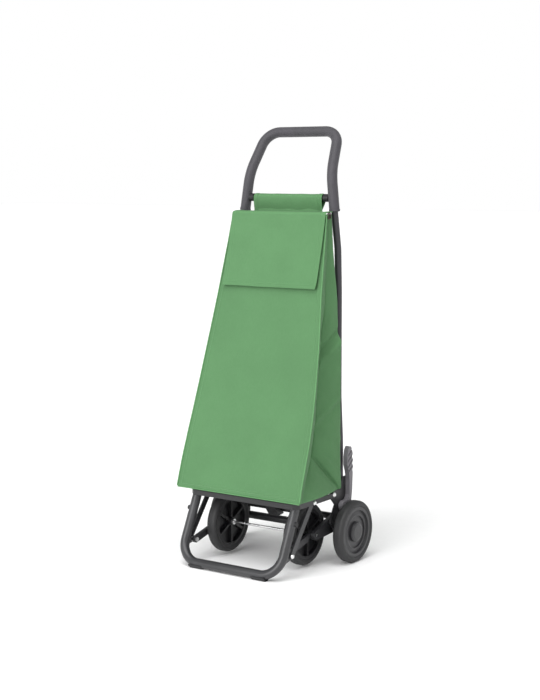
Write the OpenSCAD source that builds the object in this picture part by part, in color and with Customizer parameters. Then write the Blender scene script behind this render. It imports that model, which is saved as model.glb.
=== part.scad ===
// Folding two-plus-two-wheel shopping cart with an A-line fabric bag.
// Row frame: X to the user's right as seen from the front, Y rearwards, Z up.
// Side-view sizes are measured from the line where the foot bar meets the floor.

/* [Overall] */
// height of the handle's top centre line
handle_h = 1030; // [950:5:1080]
// height of the mouth of the bag
bag_top_z = 834; // [780:2:850]
// distance from the foot bar to the main axle
wheel_base = 259; // [250:1:290]
// half the clear width between the bracket plates
plate_in = 149; // [145:1:180]

/* [Wheels] */
// radius of all four wheels
wheel_r = 75; // [60:1:90]
// width of a tyre
wheel_w = 27; // [20:1:32]
// height the inner wheels float above the floor
aux_lift = 6; // [3:1:10]
// distance from the foot bar to the inner axle
aux_y = 154; // [145:1:160]
// radius of the bright inner axle
aux_axle_r = 3; // [2.5:0.5:5]
// outer radius of the main axle tube
axle_r = 9.5; // [8:0.5:11]

/* [Frame tubes] */
// outer radius of the side and handle tube
tube_r = 8.5; // [7:0.5:10]
// wall of the steel tubes
tube_wall = 1.2; // [1:0.1:2]
// outer radius of the handle grip
grip_r = 12.5; // [11:0.5:15]
// outer radius of the upper crossbar
bar_r = 6.5; // [5:0.5:8]
// outer radius of the foot tube
foot_r = 11; // [9:0.5:13]
// height of the strut bolt above the foot bar
bolt_h = 42; // [36:1:50]

/* [Bag] */
// half width of the front panel at the bottom
bag_w_low = 175; // [150:1:190]
// half width of the front panel at the top
bag_w_top = 133; // [120:1:140]
// depth of the bag at its floor
bag_depth = 210; // [180:1:211]
// length of the lid's front flap
flap_l = 182; // [120:2:250]
// thickness of the bag's panels
cloth = 1.6; // [1:0.1:2.4]

/* [Pedal] */
// height of the pedal above its pin
pedal_h = 142; // [100:1:150]
// thickness of the pedal
pedal_t = 12; // [8:0.5:16]

/* [Hidden] */
$fn = 64;

// running clearance and clearance between separate bodies
run = 0.05;
gap = 0.3;
pad_t = 1.5;
// row frame shift, half the overall depth
row_y = (wheel_base + wheel_r - foot_r - pad_t / 2) / 2;
aux_z = wheel_r + aux_lift;
shelf_z = 2 * wheel_r + aux_lift + 5;
rim_h = 12;
shelf_top = shelf_z + rim_h;
board_t = 5;
floor_z = shelf_top + board_t + 2;
// stations across the width
plate_t = 4;
plate_out = plate_in + plate_t;
arm_out = plate_in - 2;
arm_in = arm_out - 10;
strut_out = arm_in - 1.5;
strut_in = strut_out - 8;
aux_x = strut_in - 2.5 - wheel_w / 2;
pedal_in = plate_out + 1;
main_x = pedal_in + pedal_t + 3 + wheel_w / 2;
rail_in = plate_out + gap;
rail_t = 3;
tube_x = plate_in - tube_r;
foot_x = rail_in - foot_r - 0.2;
// side-view stations
a_y = wheel_base - 43;
a_z = shelf_z + 8;
b_y = wheel_base - 9;
b_z = wheel_r + 32;
d_y = wheel_base - 9;
d_z = wheel_r + 62;
foot_z = foot_r + pad_t;
leg_top_y = 70;
leg_slope = leg_top_y / (shelf_z - foot_z);
lug_r = 8;
c_y = 46;
c_z = foot_z + bolt_h;
m_y = 131;
m_z = shelf_z + 4;
bag_front_y = 36;
bag_back_y = bag_front_y + bag_depth;
mouth_front_y = 210;
mouth_back_y = 240;

function mir(p) = [-p[0], p[1], p[2]];
function unit(v) = v / norm(v);

module place() {
  translate([0, -row_y, 0]) children();
}

module both() {
  children();
  mirror([1, 0, 0]) children();
}

// frame with its Z along d and its X as near to up as it goes
module aim(o, d, up = [0, 0, 1]) {
  z = unit(d);
  y = unit(cross(z, up));
  x = cross(y, z);
  multmatrix([[x[0], y[0], z[0], o[0]],
    [x[1], y[1], z[1], o[1]],
    [x[2], y[2], z[2], o[2]],
    [0, 0, 0, 1]]) children();
}

module ring2d(r, ri) {
  difference() {
    circle(r);
    if (ri > 0) circle(ri);
  }
}

// straight length of tube from p to q
module run_tube(p, q, r, ri) {
  aim(p, q - p, abs(unit(q - p)[2]) > 0.9 ? [1, 0, 0] : [0, 0, 1])
    linear_extrude(norm(q - p)) ring2d(r, ri);
}

function trim(a, b, c, bend) = bend * tan(acos(unit(b - a) * unit(c - b)) / 2);

// bend of a tube at b, coming from a and going to c
module elbow(a, b, c, bend, r, ri) {
  u = unit(b - a);
  v = unit(c - b);
  ang = acos(u * v);
  t = bend * tan(ang / 2);
  side = unit(v - (u * v) * u);
  ctr = b - t * u + bend * side;
  n = cross(side, u);
  multmatrix([[-side[0], u[0], -n[0], ctr[0]],
    [-side[1], u[1], -n[1], ctr[1]],
    [-side[2], u[2], -n[2], ctr[2]],
    [0, 0, 0, 1]])
    rotate_extrude(angle = ang) translate([bend, 0]) ring2d(r, ri);
}

// bent rod through the points, with one bend radius per inner point;
// each straight runs 1 mm into its bends, which are 0.02 mm thinner, so the two always join
module bent_rod(p, bend, r, over) {
  n = len(p);
  for (i = [0:n - 2]) {
    s = i == 0 ? -over : trim(p[i - 1], p[i], p[i + 1], bend[i - 1]) - 1;
    e = i == n - 2 ? -over : trim(p[i], p[i + 1], p[i + 2], bend[i]) - 1;
    u = unit(p[i + 1] - p[i]);
    run_tube(p[i] + s * u, p[i + 1] - e * u, r, 0);
  }
  for (i = [1:1:n - 2]) elbow(p[i - 1], p[i], p[i + 1], bend[i - 1], r - 0.02, 0);
}

module bent(p, bend, r, ri) {
  difference() {
    bent_rod(p, bend, r, 0);
    bent_rod(p, bend, ri, 1);
  }
}

module xcyl(x0, x1, y, z, r) {
  translate([x0, y, z]) rotate([0, 90, 0]) cylinder(h = x1 - x0, r = r);
}

// plate in the side plane, from x0 to x1, drawn in y and z
module side_plate(x0, x1) {
  translate([x0, 0, 0])
    multmatrix([[0, 0, 1, 0], [1, 0, 0, 0], [0, 1, 0, 0], [0, 0, 0, 1]])
    linear_extrude(x1 - x0) children();
}

// flat bar between two side-view points, half width h
module bar2d(p, q, h) {
  d = unit(q - p);
  n = [-d[1], d[0]] * h;
  polygon([p + n, p - n, q - n, q + n]);
  translate(p) circle(h);
  translate(q) circle(h);
}

// frame tube path
t0 = [tube_x, wheel_base + 5, b_z + 22];
t1 = [tube_x, wheel_base + 5, 290];
tm = [tube_x - 6, wheel_base + 6, 400];
t2 = [tube_x - 8, wheel_base + 8, 650];
t3 = [bag_w_top - 1, wheel_base + 5, bag_top_z - 82];
t4 = [bag_w_top - 2, wheel_base - 7.5, bag_top_z - 4];
t5 = [bag_w_top - 15, wheel_base - 3, handle_h - 98];
t6 = [bag_w_top - 30, wheel_base + 52, handle_h];
frame_path = [t0, t1, tm, t2, t3, t4, t5, t6,
  mir(t6), mir(t5), mir(t4), mir(t3), mir(t2), mir(tm), mir(t1), mir(t0)];
frame_bend = [300, 300, 300, 120, 120, 120, 42, 42, 120, 120, 120, 300, 300, 300];
g0 = t4 + 0.12 * (t5 - t4);
grip_path = [g0, t5, t6, mir(t6), mir(t5), mir(g0)];
grip_bend = [120, 42, 42, 120];

module frame_tube() {
  color("#4a4b4e") place() difference() {
    bent(frame_path, frame_bend, tube_r, tube_r - tube_wall);
    both() for (q = [[18], [64]])
      xcyl(plate_in - 30, plate_in + 1, t0[1] + q[0] * (t1[1] - t0[1]) / (t1[2] - t0[2]), t0[2] + q[0], 2.5);
  }
}

module grip() {
  color("#4b464c") place() difference() {
    union() {
      bent_rod(grip_path, grip_bend, grip_r, 0);
      both() run_tube(g0 - 2 * unit(t5 - t4), g0 + 3 * unit(t5 - t4), grip_r + 1, 0);
    }
    bent_rod(grip_path, grip_bend, tube_r + 0.02, 3);
  }
}

xb = t4 + ((bag_top_z + 38 - t4[2]) / (t5[2] - t4[2])) * (t5 - t4);

module crossbar() {
  color("#3e3f42") place() run_tube([-xb[0] + grip_r - 2, xb[1], xb[2]], [xb[0] - grip_r + 2, xb[1], xb[2]],
    bar_r, bar_r - tube_wall);
}

module crossbar_sleeves() {
  color("#38393b") place() both()
    run_tube([xb[0] - grip_r - 12, xb[1], xb[2]], [xb[0] - grip_r + 1.5, xb[1], xb[2]], bar_r + 3, bar_r);
}

// bracket plate, side view
module plate2d() {
  difference() {
    union() {
      polygon([[a_y - lug_r, a_z], [a_y - lug_r + 1, a_z - 10], [a_y + 9, a_z - 26], [a_y - 9, b_z + 5],
        [a_y - 11, b_z - 7], [wheel_base - 22, wheel_r - 14], [wheel_base + 4, wheel_r - 19],
        [wheel_base + 18, wheel_r - 4], [wheel_base + 22, d_z], [wheel_base + 19, a_z + 36],
        [wheel_base - 3, a_z + 36], [wheel_base - 10, a_z + 18], [wheel_base - 11, a_z + lug_r],
        [a_y, a_z + lug_r]]);
      translate([a_y, a_z]) circle(lug_r);
    }
    translate([a_y, a_z]) circle(4.05);
    translate([b_y, b_z]) circle(6);
    translate([d_y, d_z]) circle(4);
    translate([wheel_base, wheel_r]) circle(axle_r);
    for (q = [18, 64])
      translate([t0[1] + q * (t1[1] - t0[1]) / (t1[2] - t0[2]), t0[2] + q]) circle(2.5);
  }
}

module plate_right() {
  color("#333436") place() side_plate(plate_in, plate_out) plate2d();
}

module plate_left() {
  color("#333436") place() mirror([1, 0, 0]) side_plate(plate_in, plate_out) plate2d();
}

module plate_screws() {
  color("#222224") place() both() for (q = [18, 64]) {
    y = t0[1] + q * (t1[1] - t0[1]) / (t1[2] - t0[2]);
    z = t0[2] + q;
    xcyl(plate_in - 2 * tube_r - 2, plate_out, y, z, 2.48);
    translate([plate_out, y, z]) rotate([0, 90, 0]) cylinder(h = 0.7, r1 = 4.2, r2 = 3.2);
    xcyl(plate_in - 2 * tube_r - 3, plate_in - 2 * tube_r - 0.2, y, z, 4.2);
  }
}

module tube_plugs() {
  color("#1d1d1f") place() both() aim(t0, t1 - t0, [1, 0, 0]) {
    translate([0, 0, -2]) cylinder(h = 2, r = tube_r);
    cylinder(h = 8, r = tube_r - tube_wall);
  }
}

axle_pin = 5;

module main_axle() {
  color("#2e2f31") place() {
    difference() {
      xcyl(-plate_out - 1, plate_out + 1, wheel_base, wheel_r, axle_r);
      xcyl(-plate_out - 2, plate_out + 2, wheel_base, wheel_r, axle_r - 1.5);
    }
    both() {
      xcyl(plate_out - 12, plate_out + 1, wheel_base, wheel_r, axle_r - 1.4);
      xcyl(plate_out, main_x - wheel_w / 2 - 2, wheel_base, wheel_r, 7);
      xcyl(plate_out, main_x + wheel_w / 2 - 5, wheel_base, wheel_r, axle_pin);
    }
  }
}

module axle_washers() {
  color("#b9bcc0") place() both() difference() {
    xcyl(main_x + wheel_w / 2 - 7.2, main_x + wheel_w / 2 - 5.7, wheel_base, wheel_r, 8);
    xcyl(main_x, main_x + wheel_w, wheel_base, wheel_r, axle_pin);
  }
}

module shelf_pins() {
  color("#c9cccf") place() both() {
    xcyl(plate_in - 1.5, plate_out + 5, a_y, a_z, 4);
    xcyl(plate_in - 3, plate_in, a_y, a_z, 6.5);
    translate([rail_in + rail_t + gap, a_y, a_z]) rotate([0, 90, 0]) cylinder(h = 2.2, r1 = 6, r2 = 4.2);
  }
}

module pedal_pin() {
  color("#8f9296") place() {
    xcyl(plate_in, pedal_in + pedal_t + 0.2, d_y, d_z, 4);
    xcyl(pedal_in + pedal_t + gap, pedal_in + pedal_t + 1.9, d_y, d_z, 6.5);
  }
}

// bag corners on the right-hand side
f0 = [bag_w_low, bag_front_y, floor_z];
f1 = [bag_w_top, mouth_front_y, bag_top_z];
r0 = [plate_out + 3, bag_back_y, floor_z];
gn = unit(cross(r0 - f0, f1 - f0));
r1x = f0[0] - (gn[1] * (mouth_back_y - f0[1]) + gn[2] * (bag_top_z - f0[2])) / gn[0];
r1 = [r1x, mouth_back_y, bag_top_z];

// flat panel with corners p, q, r, s in order, thickness t to the side of n
module panel(p, q, r, s, t) {
  u = unit(q - p);
  n = unit(cross(q - p, s - p));
  v = cross(n, u);
  multmatrix([[u[0], v[0], n[0], p[0]],
    [u[1], v[1], n[1], p[1]],
    [u[2], v[2], n[2], p[2]],
    [0, 0, 0, 1]])
    linear_extrude(t)
    polygon([[0, 0], [(q - p) * u, (q - p) * v], [(r - p) * u, (r - p) * v], [(s - p) * u, (s - p) * v]]);
}

module bag_front() {
  color("#6ea270") place() panel(f0, mir(f0), mir(f1), f1, cloth);
}

module bag_back() {
  color("#5c8c5f") place() panel(mir(r0), r0, r1, mir(r1), cloth);
}

in_f0 = f0 + [-0.3, 0.2, 0];
in_f1 = f1 + [-0.3, 0.2, 0];
in_r0 = r0 + [0, -0.2, 0];
in_r1 = r1 + [0, -0.2, 0];

module bag_gusset_right() {
  color("#548557") place() panel(in_r0, in_f0, in_f1, in_r1, cloth);
}

module bag_gusset_left() {
  color("#548557") place() mirror([1, 0, 0]) panel(in_r0, in_f0, in_f1, in_r1, cloth);
}

module bag_floor() {
  color("#548557") place() translate([0, 0, floor_z - cloth]) linear_extrude(cloth)
    polygon([[-f0[0], f0[1]], [f0[0], f0[1]], [r0[0], r0[1]], [-r0[0], r0[1]]]);
}

board_w = plate_in - 3.5;

module floor_board() {
  color("#2c2c2e") place() translate([0, 0, shelf_top]) linear_extrude(board_t)
    polygon([[-board_w + 3, leg_top_y - 8], [board_w - 3, leg_top_y - 8], [board_w, leg_top_y - 5],
      [board_w, bag_back_y - 8], [-board_w, bag_back_y - 8], [-board_w, leg_top_y - 5]]);
}

// welt down each front edge and round the foot of the front panel
module bag_piping() {
  color("#4f7f52") place() {
    both() run_tube(f0 + [0, -0.4, 2.5], f1 + [0, -0.4, -1], 1.8, 0);
    run_tube([-f0[0], f0[1] - 0.4, f0[2] + 1], [f0[0], f0[1] - 0.4, f0[2] + 1], 1.8, 0);
  }
}

band_w = 98;
band_r = bar_r + 1.4;

// loop of fabric over the crossbar, sewn to the back panel
module bag_band() {
  color("#6ea270") place() {
    side_plate(-band_w, band_w) difference() {
      union() {
        translate([xb[1], xb[2]]) circle(band_r);
        translate([xb[1] - band_r, mouth_top]) square([2 * band_r, xb[2] - mouth_top]);
      }
      translate([xb[1], xb[2]]) circle(bar_r);
      translate([xb[1] - bar_r, mouth_top - 1]) square([2 * bar_r, xb[2] - mouth_top + 1]);
    }
    side_plate(-band_w, band_w)
      polygon([[xb[1] + band_r, mouth_top], [xb[1] + band_r, mouth_top + cloth],
        [r1[1] - 0.5, mouth_top + cloth], [r1[1] - 0.5, r1[2] - 14], [r1[1] + cloth, r1[2] - 14],
        [r1[1] + cloth, mouth_top]]);
  }
}

mouth_top = bag_top_z + 4;
// lid in side view: a short cover over the mouth and a long flap
fl_dir = unit([f0[1] - f1[1], f0[2] - f1[2]]);
fl_in = [mouth_front_y - 3, mouth_top - 1];
lid_w = bag_w_top + 1;
lid_rear = mouth_back_y - 7;

module lid_top() {
  color("#6ea270") place() side_plate(-lid_w, lid_w)
    polygon([[fl_in[0] - cloth, fl_in[1]], [fl_in[0] - cloth, fl_in[1] + cloth], [lid_rear, fl_in[1] + cloth],
      [lid_rear, fl_in[1]]]);
}

module lid_flap() {
  color("#6ea270") place() side_plate(-lid_w, lid_w)
    polygon([fl_in, fl_in - [cloth, 0], fl_in - [cloth, 0] + flap_l * fl_dir, fl_in + flap_l * fl_dir]);
}

// the clip hangs at the lid's edge, clear of the gusset behind it
function gusset_x(y, z) = f0[0] - (gn[1] * (y - f0[1]) + gn[2] * (z - f0[2])) / gn[0];
clip_x = max(lid_w, gusset_x(mouth_front_y + 2, mouth_top - 15) + gap);

module lid_clip() {
  color("#3a2320") place() difference() {
    translate([lid_w, mouth_front_y + 2, mouth_top - 15]) cube([clip_x + 3 - lid_w, 14, 16]);
    translate([lid_w - 2, mouth_front_y + 5, mouth_top - 12]) cube([clip_x + 8 - lid_w, 8, 7]);
    translate([lid_w - 1, mouth_front_y, mouth_top - 16]) cube([clip_x + 1 - lid_w, 18, 14]);
  }
}

// shelf: rim in front with cut corners, rails along the sides
rim_y = leg_top_y - 15;
rim_w = rail_in + rail_t;
rim_cut = 12;

module shelf_frame() {
  color("#3b3c3e") place() {
    both() translate([0, 0, shelf_z]) linear_extrude(rim_h)
      polygon([[-1, rim_y], [rim_w - rim_cut, rim_y], [rim_w, rim_y + rim_cut], [rim_w, rim_y + rim_cut + 4],
        [rim_w - rail_t, rim_y + rim_cut + 4], [rim_w - rail_t, rim_y + rim_cut + 1.25],
        [rim_w - rim_cut - 1.25, rim_y + rail_t], [-1, rim_y + rail_t]]);
    both() translate([0, 0, shelf_z + rim_h - 2]) linear_extrude(2)
      polygon([[-1, rim_y], [rim_w - rim_cut, rim_y], [rim_w, rim_y + rim_cut], [rim_w, rim_y + 18], [-1, rim_y + 18]]);
    both() difference() {
      union() {
        translate([rail_in, rim_y + rim_cut, shelf_z]) cube([rail_t, a_y - rim_y - rim_cut, rim_h]);
        xcyl(rail_in, rail_in + rail_t, a_y, a_z, lug_r);
      }
      xcyl(rail_in - 1, rail_in + rail_t + 1, a_y, a_z, 4 + run);
      xcyl(rail_in - 1, rail_in + rail_t + 1, m_y, m_z, 3);
    }
  }
}

module shelf_slats() {
  color("#303133") place() {
    for (y = [leg_top_y + 30, m_y + 19, a_y - 22])
      translate([-rail_in, y, shelf_top - 6]) cube([2 * rail_in, 12, 3]);
    for (x = [-90, -30, 30, 90])
      translate([x - 6, leg_top_y + 3, shelf_top - 3]) cube([12, a_y - leg_top_y - 7, 3]);
  }
}

module shelf_rivets() {
  color("#d9dbde") place() both() {
    xcyl(foot_x + 3, rail_in + rail_t, m_y, m_z, 3);
    translate([rail_in + rail_t, m_y, m_z]) rotate([0, 90, 0]) cylinder(h = 2.2, r1 = 5.5, r2 = 3.8);
    xcyl(foot_x + 2.4, foot_x + 4, m_y, m_z, 5);
    xcyl(foot_x + 8, rail_in, m_y, m_z, 5);
  }
}

leg0 = [foot_x, leg_slope * (shelf_top - 6.2 - foot_z), shelf_top - 6.2];
leg1 = [foot_x, 0, foot_z];

module foot_tube() {
  color("#55565a") place() difference() {
    bent([leg0, leg1, mir(leg1), mir(leg0)], [52, 52], foot_r, foot_r - 1.5);
    both() xcyl(foot_x, foot_x + foot_r + 2, 0.78 * leg_top_y, foot_z + 0.78 * (shelf_z - foot_z), 3);
  }
}

module foot_pads() {
  color("#232325") place() both() translate([72, 0, foot_z]) rotate([0, 90, 0]) difference() {
    linear_extrude(38) difference() {
      union() {
        circle(foot_r + 1.2);
        translate([0, -5]) square([foot_r + pad_t, 10]);
      }
      circle(foot_r);
      translate([-foot_r - 5, -foot_r - 5]) square([foot_r + 8, 2 * foot_r + 10]);
    }
  }
}

// ear behind each leg for the strut bolt
module foot_ears() {
  color("#55565a") place() both() side_plate(foot_x, foot_x + 4) difference() {
    union() {
      translate([c_y, c_z]) circle(9);
      polygon([[c_y, c_z + 9], [leg_slope * (c_z - foot_z + 12) + foot_r - 3, c_z + 12],
        [leg_slope * (c_z - foot_z - 14) + foot_r - 1, c_z - 14], [c_y, c_z - 9]]);
    }
    translate([c_y, c_z]) circle(3);
  }
}

module foot_bolts() {
  color("#232325") place() both() {
    y = 0.78 * leg_top_y;
    z = foot_z + 0.78 * (shelf_z - foot_z);
    xcyl(foot_x + 4, foot_x + foot_r + 1, y, z, 3);
    xcyl(foot_x + foot_r - 0.8, foot_x + foot_r + 4, y, z, 5.5);
  }
}

// flat stay from the shelf rivet down to the strut bolt
module stays() {
  color("#5d5e62") place() both() side_plate(foot_x + 4, foot_x + 8) difference() {
    bar2d([m_y, m_z], [c_y, c_z], 7.5);
    translate([m_y, m_z]) circle(3);
    translate([c_y, c_z]) circle(3);
  }
}

module strut_bolts() {
  color("#d9dbde") place() both() {
    xcyl(strut_in - 0.5, foot_x + 8.5, c_y, c_z, 3);
    xcyl(strut_out + gap, foot_x, c_y, c_z, 6);
    xcyl(strut_in - 2.4, strut_in - gap, c_y, c_z, 5.5);
    translate([foot_x + 8, c_y, c_z]) rotate([0, 90, 0]) cylinder(h = 3, r1 = 5.5, r2 = 4);
  }
}

// plastic clip which hooks the shelf to the cross tube
module latch_clip() {
  color("#1d1d1f") place() translate([-41, 0, 0]) side_plate(0, 30) difference() {
    polygon([[a_y - 17, shelf_top - 6], [a_y - 3, shelf_top - 6], [a_y + 6, b_z + 22], [b_y - 3, b_z + 2],
      [b_y - 3, b_z - 12], [a_y + 10, b_z - 14], [a_y - 14, b_z + 16]]);
    translate([b_y, b_z]) circle(cross_r + gap);
  }
}

s_dir = unit([aux_y - c_y, aux_z - c_z]);
s_open = unit([0.485, -0.875]);

// strut from the bolt to a saddle over the inner axle
module strut2d() {
  difference() {
    union() {
      bar2d([c_y, c_z], [aux_y, aux_z] - 4 * s_dir, 8);
      translate([aux_y, aux_z]) circle(11);
    }
    translate([c_y, c_z]) circle(3 + run);
    translate([aux_y, aux_z]) circle(aux_axle_r + run);
    translate([aux_y, aux_z]) rotate(atan2(s_open[1], s_open[0]))
      translate([-aux_axle_r / 2, -20]) square([30, 40]);
  }
}

module strut_right() {
  color("#4c4d50") place() side_plate(strut_in, strut_out) strut2d();
}

module strut_left() {
  color("#4c4d50") place() mirror([1, 0, 0]) side_plate(strut_in, strut_out) strut2d();
}

cross_r = 8;

module arm2d() {
  difference() {
    union() {
      translate([aux_y, aux_z]) circle(11);
      translate([b_y, b_z]) circle(16);
      polygon([[aux_y - 3, aux_z + 10.6], [aux_y + 1, aux_z - 11], [wheel_base - 35, wheel_r - 1],
        [b_y - 8, b_z - 14], [b_y - 4, b_z + 15.5]]);
    }
    translate([aux_y, aux_z]) circle(aux_axle_r);
    translate([b_y, b_z]) circle(cross_r);
  }
}

module arm_right() {
  color("#4a4b4e") place() side_plate(arm_in, arm_out) arm2d();
}

module arm_left() {
  color("#4a4b4e") place() mirror([1, 0, 0]) side_plate(arm_in, arm_out) arm2d();
}

// tube that joins the arms, with a journal in each plate
module cross_tube() {
  color("#2e2f31") place() {
    difference() {
      xcyl(-arm_out, arm_out, b_y, b_z, cross_r);
      xcyl(-arm_out - 1, arm_out + 1, b_y, b_z, cross_r - 1.5);
    }
    both() {
      xcyl(arm_out - 10, arm_out, b_y, b_z, cross_r - 1);
      xcyl(arm_out - 1, plate_out - 0.5, b_y, b_z, 6 - run);
    }
  }
}

module aux_axle() {
  color("#d9dbde") place() xcyl(-arm_out, arm_out, aux_y, aux_z, aux_axle_r);
}

module aux_collars() {
  color("#e6e8ea") place() both() difference() {
    union() {
      xcyl(aux_x - wheel_w / 2 - 4.5, aux_x - wheel_w / 2 - gap, aux_y, aux_z, 7);
      xcyl(aux_x + wheel_w / 2 + gap, aux_x + wheel_w / 2 + 2, aux_y, aux_z, 7);
    }
    xcyl(0, plate_in, aux_y, aux_z, aux_axle_r);
  }
}

// radius of the tyre's shoulders
shoulder_r = 9;

// tyre about X at the origin
module tyre() {
  h = wheel_w / 2;
  rotate([0, 90, 0]) rotate_extrude() difference() {
    union() {
      polygon([[wheel_r - 15, -h + 2.5], [wheel_r - shoulder_r, -h], [wheel_r - shoulder_r, h],
        [wheel_r - 15, h - 2.5]]);
      translate([wheel_r - shoulder_r, -h + shoulder_r]) circle(shoulder_r);
      translate([wheel_r - shoulder_r, h - shoulder_r]) circle(shoulder_r);
      translate([wheel_r - shoulder_r - 1, -h + shoulder_r]) square([shoulder_r + 1, wheel_w - 2 * shoulder_r]);
    }
    translate([wheel_r - 17, -4]) square([4, 8]);
  }
}

// spoked rim, hub bore r
module spoked_rim(r) {
  h = wheel_w / 2;
  rotate([0, 90, 0]) {
    rotate_extrude() {
      difference() {
        translate([wheel_r - 22, -h + 2]) square([8.9, wheel_w - 4]);
        translate([wheel_r - 15, -h]) square([5, h - 4]);
        translate([wheel_r - 15, 4]) square([5, h]);
      }
      translate([r, -h]) square([7, wheel_w]);
      translate([r + 6, -2]) square([wheel_r - 27 - r, 4]);
    }
    for (i = [0:5]) rotate(i * 60) translate([r + 5, -3, -h + 3]) cube([wheel_r - 26 - r, 6, wheel_w - 6]);
  }
}

// rim with concentric rings on its outer face, which is at +X
module ringed_rim(r) {
  h = wheel_w / 2;
  rotate([0, 90, 0]) {
    rotate_extrude() {
      difference() {
        translate([wheel_r - 22, -h + 2]) square([8.9, wheel_w - 4]);
        translate([wheel_r - 15, -h]) square([5, h - 4]);
        translate([wheel_r - 15, 4]) square([5, h]);
      }
      translate([r, -h + 0.3]) square([8, wheel_w - 8]);
      polygon([[r + 6, h - 13], [wheel_r - 20, h - 9], [wheel_r - 20, h - 4.5], [wheel_r - 21, h - 3],
        [wheel_r - 22.5, h - 3], [wheel_r - 23.5, h - 6.5], [wheel_r - 25, h - 6.3], [wheel_r - 34, h - 3.8],
        [wheel_r - 36, h - 4.2], [wheel_r - 37, h - 7.5], [wheel_r - 47, h - 7.7], [r + 6, h - 7.7]]);
    }
    for (i = [0:5]) rotate(i * 60) translate([r + 6, -2, -h + 3]) cube([wheel_r - 27 - r, 4, wheel_w - 14]);
  }
}

module cap() {
  h = wheel_w / 2;
  rotate([0, 90, 0]) rotate_extrude()
    polygon([[0, h + 1.5], [17, h + 1.2], [22.5, h - 0.3], [24.5, h - 2.8], [24.5, h - 7.7],
      [22.9, h - 7.7], [21.8, h - 2], [0, h - 1.3]]);
}

module aux_tyre_right() {
  color("#2c2c2e") place() translate([aux_x, aux_y, aux_z]) tyre();
}

module aux_tyre_left() {
  color("#2c2c2e") place() translate([-aux_x, aux_y, aux_z]) tyre();
}

module aux_rim_right() {
  color("#343437") place() translate([aux_x, aux_y, aux_z]) spoked_rim(aux_axle_r + run);
}

module aux_rim_left() {
  color("#343437") place() translate([-aux_x, aux_y, aux_z]) spoked_rim(aux_axle_r + run);
}

module main_tyre_right() {
  color("#2c2c2e") place() translate([main_x, wheel_base, wheel_r]) tyre();
}

module main_tyre_left() {
  color("#2c2c2e") place() translate([-main_x, wheel_base, wheel_r]) tyre();
}

module main_rim_right() {
  color("#3c3c40") place() translate([main_x, wheel_base, wheel_r]) ringed_rim(axle_pin + run);
}

module main_rim_left() {
  color("#3c3c40") place() translate([-main_x, wheel_base, wheel_r]) mirror([1, 0, 0]) ringed_rim(axle_pin + run);
}

module main_cap_right() {
  color("#2f2f33") place() translate([main_x, wheel_base, wheel_r]) cap();
}

module main_cap_left() {
  color("#2f2f33") place() translate([-main_x, wheel_base, wheel_r]) mirror([1, 0, 0]) cap();
}

// pedal: tall leaning fin with slanted ribs and a stepped rear edge
module pedal2d() {
  k = pedal_h / 142;
  polygon([[d_y - 10, d_z - 2], [d_y - 2, d_z - 10], [d_y + 22, d_z - 7], [d_y + 28, d_z + 8],
    [d_y + 32, d_z + 37 * k], [d_y + 34, d_z + 77 * k], [d_y + 32, d_z + 84 * k], [d_y + 36, d_z + 91 * k],
    [d_y + 31, d_z + 99 * k], [d_y + 35, d_z + 107 * k], [d_y + 30, d_z + 115 * k], [d_y + 33, d_z + 123 * k],
    [d_y + 30, d_z + 132 * k], [d_y + 25, d_z + 141 * k], [d_y + 19, d_z + 142 * k], [d_y + 13, d_z + 135 * k],
    [d_y + 9, d_z + 118 * k], [d_y + 9, d_z + 98 * k], [d_y + 16, d_z + 80 * k], [d_y + 20, d_z + 60 * k],
    [d_y + 20, d_z + 24], [d_y + 14, d_z + 13], [d_y - 2, d_z + 11], [d_y - 9, d_z + 7]]);
}

module pedal() {
  k = pedal_h / 142;
  color("#737074") place() difference() {
    side_plate(pedal_in, pedal_in + pedal_t) difference() {
      union() {
        pedal2d();
        translate([d_y, d_z]) circle(12);
      }
      translate([d_y, d_z]) circle(4 + run);
    }
    for (i = [0:3]) side_plate(pedal_in + pedal_t - 2, pedal_in + pedal_t + 1)
      polygon([[d_y + 12, d_z + (79 + 14 * i) * k], [d_y + 31, d_z + (94 + 14 * i) * k],
        [d_y + 31, d_z + (90 + 14 * i) * k], [d_y + 12, d_z + (75 + 14 * i) * k]]);
  }
}

grip();
frame_tube();
crossbar();
crossbar_sleeves();
plate_left();
plate_right();
plate_screws();
tube_plugs();
main_axle();
axle_washers();
shelf_pins();
pedal_pin();
bag_front();
bag_back();
bag_gusset_left();
bag_gusset_right();
bag_floor();
floor_board();
bag_band();
bag_piping();
lid_top();
lid_flap();
lid_clip();
shelf_frame();
shelf_slats();
shelf_rivets();
foot_tube();
foot_pads();
foot_ears();
foot_bolts();
stays();
strut_bolts();
latch_clip();
strut_left();
strut_right();
arm_left();
arm_right();
cross_tube();
aux_axle();
aux_collars();
aux_tyre_left();
aux_rim_left();
aux_tyre_right();
aux_rim_right();
main_tyre_left();
main_rim_left();
main_cap_left();
main_tyre_right();
main_rim_right();
main_cap_right();
pedal();
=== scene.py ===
import math

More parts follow.
